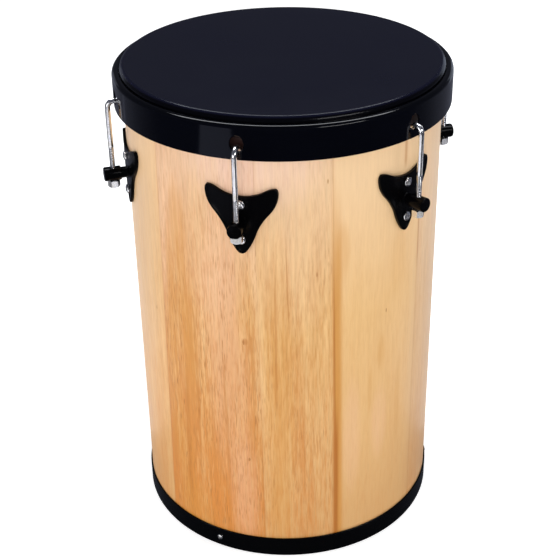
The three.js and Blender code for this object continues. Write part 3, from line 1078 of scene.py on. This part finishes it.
def makeNut(name, steel, flats, tall, bore):
    card = fastenerCard
    corner = flats / math.sqrt(3)
    crown = flats / 2 * card["nutRound"]
    half = tall / 2
    nut = makePiece(name, rod(corner, -half, half, 6), steel)
    nut.data.transform(Matrix.Rotation(math.radians(30), 4, "Z"))
    fall = (corner - crown) * math.tan(math.radians(card["nutFall"]))
    sink = bore * card["nutSink"]
    profile = [(bore, -half + sink), (bore + sink, -half), (crown, -half), (corner, -half + fall)]
    profile += [(corner + 0.001, 0), (corner, half - fall), (crown, half), (bore + sink, half)]
    profile += [(bore, half - sink)]
    reshape(nut, [makePiece("turning", turned(profile, 64))], "INTERSECT", 20)
    return nut


# Lugs: plate, arm, hook, tuning nut and screws

plateCard = {
    "thickness": 0.0027,
    "edgeRound": 0.0006,
    "rimWidth": 0.0018,
    "rimStep": 0.0005,
    "color": (0.0009, 0.0009, 0.0012),
    "looks": {"Roughness": 0.22, "Specular IOR Level": 0.12},
    # half of the outline, in shares of half the width and of the height below the top
    "startShares": (0, 0.13),
    "curveShares": [
        ((0.34, 0.13), (0.62, 0.05)),
        ((0.78, 0), (0.92, 0)),
        ((1, 0.01), (1, 0.09)),
        ((0.99, 0.24), (0.78, 0.37)),
        ((0.55, 0.5), (0.42, 0.66)),
        ((0.32, 0.83), (0.15, 0.95)),
        ((0.08, 1), (0, 1)),
    ],
    "curveSteps": 8,
    "bendStep": 0.002,
}


def plateOutline():
    card = plateCard
    half = plateHigh.x
    tall = plateHigh.z - plateLow.z

    def point(share):
        return Vector((share[0] * half, plateHigh.z - share[1] * tall))

    points = [point(card["startShares"])]
    for control, end in card["curveShares"]:
        start, middle, stop = points[-1], point(control), point(end)
        for i in range(1, card["curveSteps"] + 1):
            t = i / card["curveSteps"]
            points.append(start * (1 - t) ** 2 + middle * 2 * t * (1 - t) + stop * t ** 2)
    mirrored = [Vector((-p.x, p.y)) for p in points[-2:0:-1]]
    return points + mirrored


# Draws the plate flat, presses its rim, and bends it to the shell
def makePlate(material):
    card = plateCard
    builder = bmesh.new()
    back = builder.faces.new([builder.verts.new((p.x, 0, p.y)) for p in plateOutline()])
    bmesh.ops.recalc_face_normals(builder, faces=[back])
    pulled = bmesh.ops.extrude_face_region(builder, geom=[back])["geom"]
    front = [g for g in pulled if isinstance(g, bmesh.types.BMFace)]
    bmesh.ops.translate(builder, vec=(0, -card["thickness"], 0),
                        verts=[g for g in pulled if isinstance(g, bmesh.types.BMVert)])
    bmesh.ops.recalc_face_normals(builder, faces=builder.faces)
    bmesh.ops.bevel(builder, geom=list(front[0].edges), offset=card["edgeRound"], segments=3, profile=0.5,
                    affect="EDGES")
    builder.normal_update()
    front = max(builder.faces, key=lambda face: -face.normal.y * face.calc_area())
    for width, depth in ((card["rimWidth"], 0), (card["rimStep"], -card["rimStep"])):
        bmesh.ops.inset_region(builder, faces=[front], thickness=width, depth=depth, use_even_offset=True)
    steps = int(plateHigh.x / card["bendStep"])
    for i in range(-steps, steps + 1):
        everything = builder.verts[:] + builder.edges[:] + builder.faces[:]
        bmesh.ops.bisect_plane(builder, geom=everything, plane_co=(i * card["bendStep"], 0, 0),
                               plane_no=(1, 0, 0), dist=tiny)
    inner = plateRadius - card["thickness"]
    for vertex in builder.verts:
        radius = inner - vertex.co.y
        vertex.co.y = -math.sqrt(radius ** 2 - vertex.co.x ** 2)
    plate = makePiece("plate", builder, material, 24)
    ends = (inner - overrun, plateRadius + overrun)
    heights = [middleHeight(f"{side}_screw_1") for side in ("upper", "lower")]
    drills = [drill(shellCard["screwHole"], *ends, height) for height in heights]
    drills.append(drill(armCard["rivetRadius"] + armCard["gap"], *ends, armHeight, sides=32))
    reshape(plate, [joinPieces(drills)], sharpAngle=24)
    return plate


armCard = {
    "gap": 0.0003,
    "stemRadius": 0.005,
    "headLength": 0.015,
    "edgeRound": 0.0012,
    "neckRound": 0.0008,
    "dimpleRadius": 0.0017,
    "rivetRadius": 0.003,
    "flatDepth": 0.0008,
    "flatCutter": 0.004,
    "boreRadius": 0.0029,
    "color": (0.0008, 0.0008, 0.0011),
    "looks": {"Roughness": 0.16, "Specular IOR Level": 0.1},
}


def makeArm(material):
    card = armCard
    edge = card["edgeRound"]
    neck = card["neckRound"]
    dimple = card["dimpleRadius"]
    rivetEnd = plateRadius - plateCard["thickness"] + card["gap"]
    face = plateRadius * flatShare + card["gap"]
    headStart = armEnd - card["headLength"]
    profile = [(0, rivetEnd), (card["rivetRadius"], rivetEnd), (card["rivetRadius"], face)]
    profile += [(card["stemRadius"] + neck, face)]
    profile += arcPoints(card["stemRadius"] + neck, face + neck * 1.6, neck, 250, 180, 4)
    profile += [(card["stemRadius"], headStart - 0.0001)]
    profile += arcPoints(armRadius - edge / 2, headStart + edge / 2, edge / 2, -90, 0, 5)
    profile += arcPoints(armRadius - edge, armEnd - edge, edge, 0, 90, 8)
    profile += arcPoints(0, armEnd + dimple * 0.6, dimple, -36, -90, 5)[:-1] + [(0, armEnd - dimple * 0.4)]
    arm = makePiece("arm", layOutward(turned(profile, 64), armHeight), material, 28)
    reach = armRadius + overrun
    bore = rod(card["boreRadius"], armHeight - reach, armHeight + reach, 40)
    bore.transform(Matrix.Translation((0, -rodPlace, 0)))
    tall = card["flatCutter"]
    length = card["headLength"] + tall
    spotTop = armHeight - armRadius + card["flatDepth"]
    spot = bmesh.new()
    bmesh.ops.create_cube(spot, size=1)
    spot.transform(Matrix.Diagonal((armRadius * 3, length, tall, 1)))
    spot.transform(Matrix.Translation((0, -(headStart + length / 2), spotTop - tall / 2)))
    reshape(arm, [makePiece("bore", bore), makePiece("spot", spot)], sharpAngle=28)
    return arm


hookCard = {
    "threadTop": 0.3845,
    "pitch": 0.001058,
    "threadDepth": 0.00045,
    "ringsPerTurn": 6,
    "runOut": 0.002,
    "tip": 0.0035,
    "sides": 24,
    "bendSteps": 28,
    "endChamfer": 0.0005,
    "shaftShares": (0.02, 0.35, 0.7, 1),  # rings between the thread and the bend
    "tipShares": ((0.7, 1), (0.88, 0.96), (0.97, 0.85), (1, 0.66)),  # drop and radius of the tip's rings
}


# The rings of the hook, each: place along Y, height, lean of the rod, radius, depth of the thread there
def hookRings():
    card = hookCard
    low = hookLow.z
    top = card["threadTop"]
    chamfer = card["endChamfer"]
    rings = [(-rodPlace, low, 0, rodRadius - chamfer * 1.6, 0)]
    step = card["pitch"] / card["ringsPerTurn"]
    for i in range(int((top - low - chamfer) / step) + 1):
        height = low + chamfer + i * step
        fade = min(1, (top - height) / card["runOut"], (i + 1) / card["ringsPerTurn"])
        rings.append((-rodPlace, height, 0, rodRadius, card["threadDepth"] * max(0, fade)))
    for share in card["shaftShares"]:
        rings.append((-rodPlace, top + (bendHeight - top) * share, 0, rodRadius, 0))
    centre = -(rodPlace + tipPlace) / 2
    for i in range(1, card["bendSteps"] + 1):
        turn = math.pi * i / card["bendSteps"]
        place, height = centre - bendRadius * math.cos(turn), bendHeight + bendRadius * math.sin(turn)
        rings.append((place, height, turn, rodRadius, 0))
    for drop, shrink in card["tipShares"]:
        rings.append((-tipPlace, bendHeight - card["tip"] * drop, math.pi, rodRadius * shrink, 0))
    return rings


def makeHook(material):
    card = hookCard
    builder = bmesh.new()
    loops = []
    for along, height, lean, radius, depth in hookRings():
        loop = []
        for i in range(card["sides"]):
            turn = 2 * math.pi * i / card["sides"]
            phase = (height / card["pitch"] - i / card["sides"]) % 1
            reach = radius - depth * abs(2 * phase - 1)
            sideways = reach * math.sin(turn)
            loop.append(builder.verts.new((reach * math.cos(turn), along + sideways * math.cos(lean),
                                           height - sideways * math.sin(lean))))
        loops.append(loop)
    closeLoft(builder, loops)
    return makePiece("hook", builder, material, 60)


screwCard = {
    "shankRadius": 0.002,
    "nutBore": 0.0023,
    "tuningBore": rodRadius + 0.0003,
}


# One of each piece of a lug, at the first lug
def lugSources(steel):
    card = screwCard
    plate = makePlate(enamelMaterial("plateEnamel", plateCard["color"], plateCard["looks"]))
    arm = makeArm(enamelMaterial("armEnamel", armCard["color"], armCard["looks"]))
    hook = makeHook(steel)
    nut = makeNut("nut", steel, nutHigh.x - nutLow.x, nutHigh.z - nutLow.z, card["tuningBore"])
    nut.data.transform(Matrix.Translation((0, -rodPlace, middleHeight("tuning_nut_1"))))
    low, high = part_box("upper_screw_1")
    face = plateRadius * flatShare + armCard["gap"]
    screw = makeScrew("screw", steel, (high.x - low.x) / 2, -low.y - face, card["shankRadius"], face, -high.y)
    low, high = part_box("upper_screw_nut_1")
    insideNut = makeNut("inside_nut", steel, high.x - low.x, high.y - low.y, card["nutBore"])
    insideNut.data.transform(Matrix.Translation((0, (high.y + low.y) / 2, 0)) @ quarterTurn)
    return plate, arm, hook, nut, screw, insideNut


def makeLugs(steel):
    sources = lugSources(steel)
    plate, arm, hook, nut, screw, insideNut = [source.data for source in sources]
    for number, turn in enumerate(lugTurns, 1):
        rows = [
            (plate, "lug_shield", "lug_plate", "drum", "lug_black"),
            (arm, "lug_post", "lug_arm", "drum", "lug_black"),
            (hook, "threaded_hook", "tension_hook", "counterhoop_set", "bright_steel"),
            (nut, "hexagon_nut", "tuning_nut", f"tuning_nut_{number}", "bright_steel"),
        ]
        for mesh, name, node, body, slot in rows:
            made = fit(addObject(f"{name}_{number}", mesh), f"{node}_{number}", body, slot, turn)
        lightGroups["tuning_nuts"].objects.link(made)
        for side in ("upper", "lower"):
            for mesh, kind in ((screw, "screw"), (insideNut, "screw_nut")):
                made = addObject(f"{side}_lug_{kind}_{number}", mesh)
                made.location.z = middleHeight(f"{side}_screw_{number}")
                fit(made, f"{side}_{kind}_{number}", "drum", "bright_steel", turn)
    for source in sources:
        bpy.data.objects.remove(source)


def makeBandScrews(steel):
    card = bandCard
    base = bandRadius + armCard["gap"]
    source = makeScrew("screw", steel, card["headRadius"], card["headTall"], card["shankRadius"], base,
                       base - card["screwLength"], card["point"])
    for number, turn in enumerate(card["screwTurns"], 1):
        made = addObject(f"foot_screw_{number}", source.data)
        made.location.z = middleHeight("band_screw_1")
        fit(made, f"band_screw_{number}", "drum", "bright_steel", turn)
    bpy.data.objects.remove(source)


# Flesh hoop: the CAD ring keeps its shape and gets a drawn aluminium finish

fleshCard = {
    "looks": {"Roughness": 0.4, "Metallic": 1},
    "colors": ((0.5, 0.5, 0.52), (0.72, 0.72, 0.74)),
    "drawn": (60, 60, 2200),
    "relief": (0.1, 0.0001),
}


def dressFleshHoop():
    card = fleshCard
    material, shader = newMaterial("drawnAluminium", card["looks"])
    drawn = noise(objectPlace(material.node_tree), card["drawn"])
    feed(shader, "Base Color", mixed(drawn, *card["colors"]))
    bump(shader, drawn, *card["relief"])
    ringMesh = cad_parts["flesh_hoop"].data
    ringMesh.materials.clear()
    ringMesh.materials.append(material)


makeShell()
print("shell ready")
makeSkin()
dressFleshHoop()
print("skin and flesh hoop ready")
makeCounterhoop()
makeBand()
print("counterhoop and foot band ready")
platedSteel = steelMaterial()
makeLugs(platedSteel)
makeBandScrews(platedSteel)
print("lugs and screws ready")
